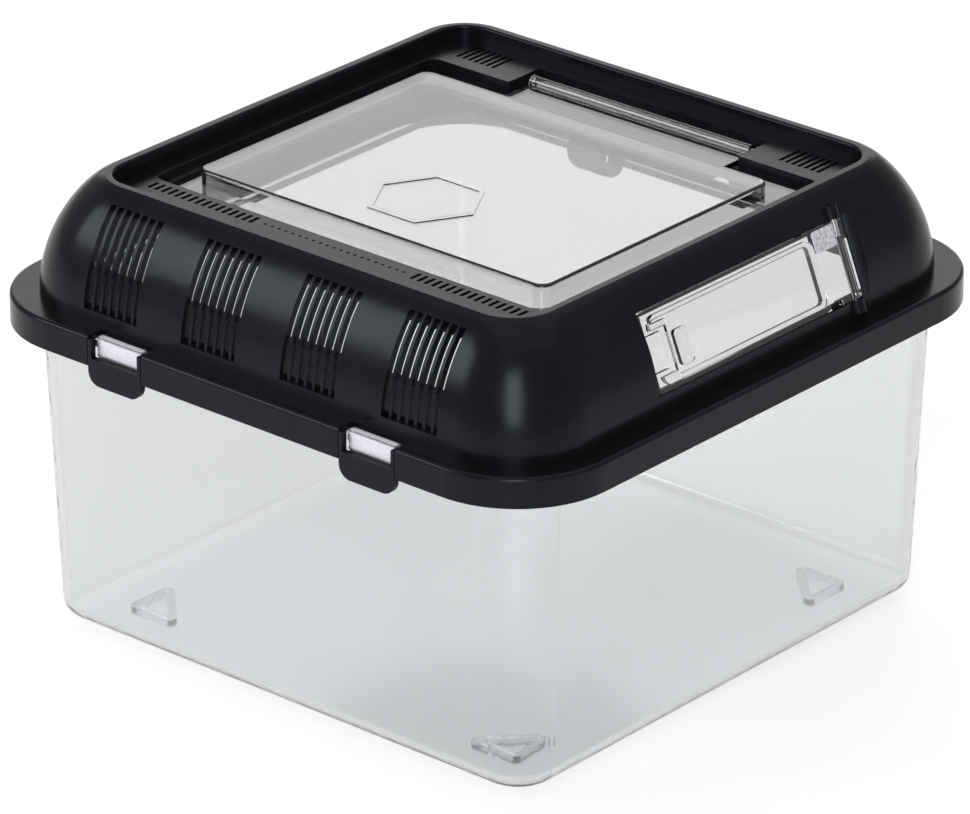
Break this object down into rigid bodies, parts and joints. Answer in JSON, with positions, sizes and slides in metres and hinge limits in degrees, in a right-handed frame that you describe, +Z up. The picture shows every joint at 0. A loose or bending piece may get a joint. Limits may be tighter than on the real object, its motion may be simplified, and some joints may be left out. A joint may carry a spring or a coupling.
{
  "type": "small animal rearing box",
  "caption": "Square clear plastic rearing box with a black vented hood that clips on, a clear hinged top door and a clear feeding hatch in one side.",
  "frame": {"origin": "middle of the box's footprint, on the surface that its feet stand on", "axes": "+Z up, -Y out of the vented front, +X out of the side with the feeding hatch"},
  "size_m": [0.205, 0.205, 0.1347],
  "materials": {
    "tub_clear": "clear polished polystyrene",
    "door_clear": "clear polished polystyrene",
    "hatch_clear": "clear polished polystyrene",
    "hood_black": "satin moulded black",
    "pin_steel": "drawn wire"
  },
  "bodies": {
    "tub": {"tub": "tub_clear"},
    "hood": {"hood": "hood_black", "hatch_hinge_pin": "pin_steel"},
    "top_door": {"top_door": "door_clear"},
    "feeding_hatch": {"feeding_hatch": "hatch_clear"},
    "hatch_catch": {"hatch_catch": "hatch_clear"},
    "latch_front_left": {"latch_front_left": "hood_black"},
    "latch_front_right": {"latch_front_right": "hood_black"},
    "latch_back_left": {"latch_back_left": "hood_black"},
    "latch_back_right": {"latch_back_right": "hood_black"}
  },
  "joints": [
    {"name": "hood_lift", "type": "slide", "parent": "tub", "child": "hood", "axis": [0, 0, 1], "range_m": [0, 0.07]},
    {"name": "top_door_hinge", "type": "hinge", "parent": "hood", "child": "top_door", "pos_m": [0, 0.066, 0.1282], "axis": [-1, 0, 0], "range_deg": [0, 110]},
    {"name": "hatch_hinge", "type": "hinge", "parent": "hood", "child": "feeding_hatch", "pos_m": [0.08976, 0.0445, 0.1167], "axis": [-0.3762, 0, 0.9265], "range_deg": [0, 110]},
    {"name": "hatch_catch_flex", "type": "hinge", "parent": "feeding_hatch", "child": "hatch_catch", "pos_m": [0.08995, -0.0336, 0.11624], "axis": [0.3762, 0, -0.9265], "range_deg": [0, 7], "stiffness_Nm_per_rad": 0.02},
    {"name": "latch_front_left_flex", "type": "hinge", "parent": "hood", "child": "latch_front_left", "pos_m": [-0.0458, -0.10155, 0.0993], "axis": [-1, 0, 0], "range_deg": [0, 12], "stiffness_Nm_per_rad": 0.05},
    {"name": "latch_front_right_flex", "type": "hinge", "parent": "hood", "child": "latch_front_right", "pos_m": [0.0458, -0.10155, 0.0993], "axis": [-1, 0, 0], "range_deg": [0, 12], "stiffness_Nm_per_rad": 0.05},
    {"name": "latch_back_left_flex", "type": "hinge", "parent": "hood", "child": "latch_back_left", "pos_m": [-0.0458, 0.10155, 0.0993], "axis": [1, 0, 0], "range_deg": [0, 12], "stiffness_Nm_per_rad": 0.05},
    {"name": "latch_back_right_flex", "type": "hinge", "parent": "hood", "child": "latch_back_right", "pos_m": [0.0458, 0.10155, 0.0993], "axis": [1, 0, 0], "range_deg": [0, 12], "stiffness_Nm_per_rad": 0.05}
  ]
}
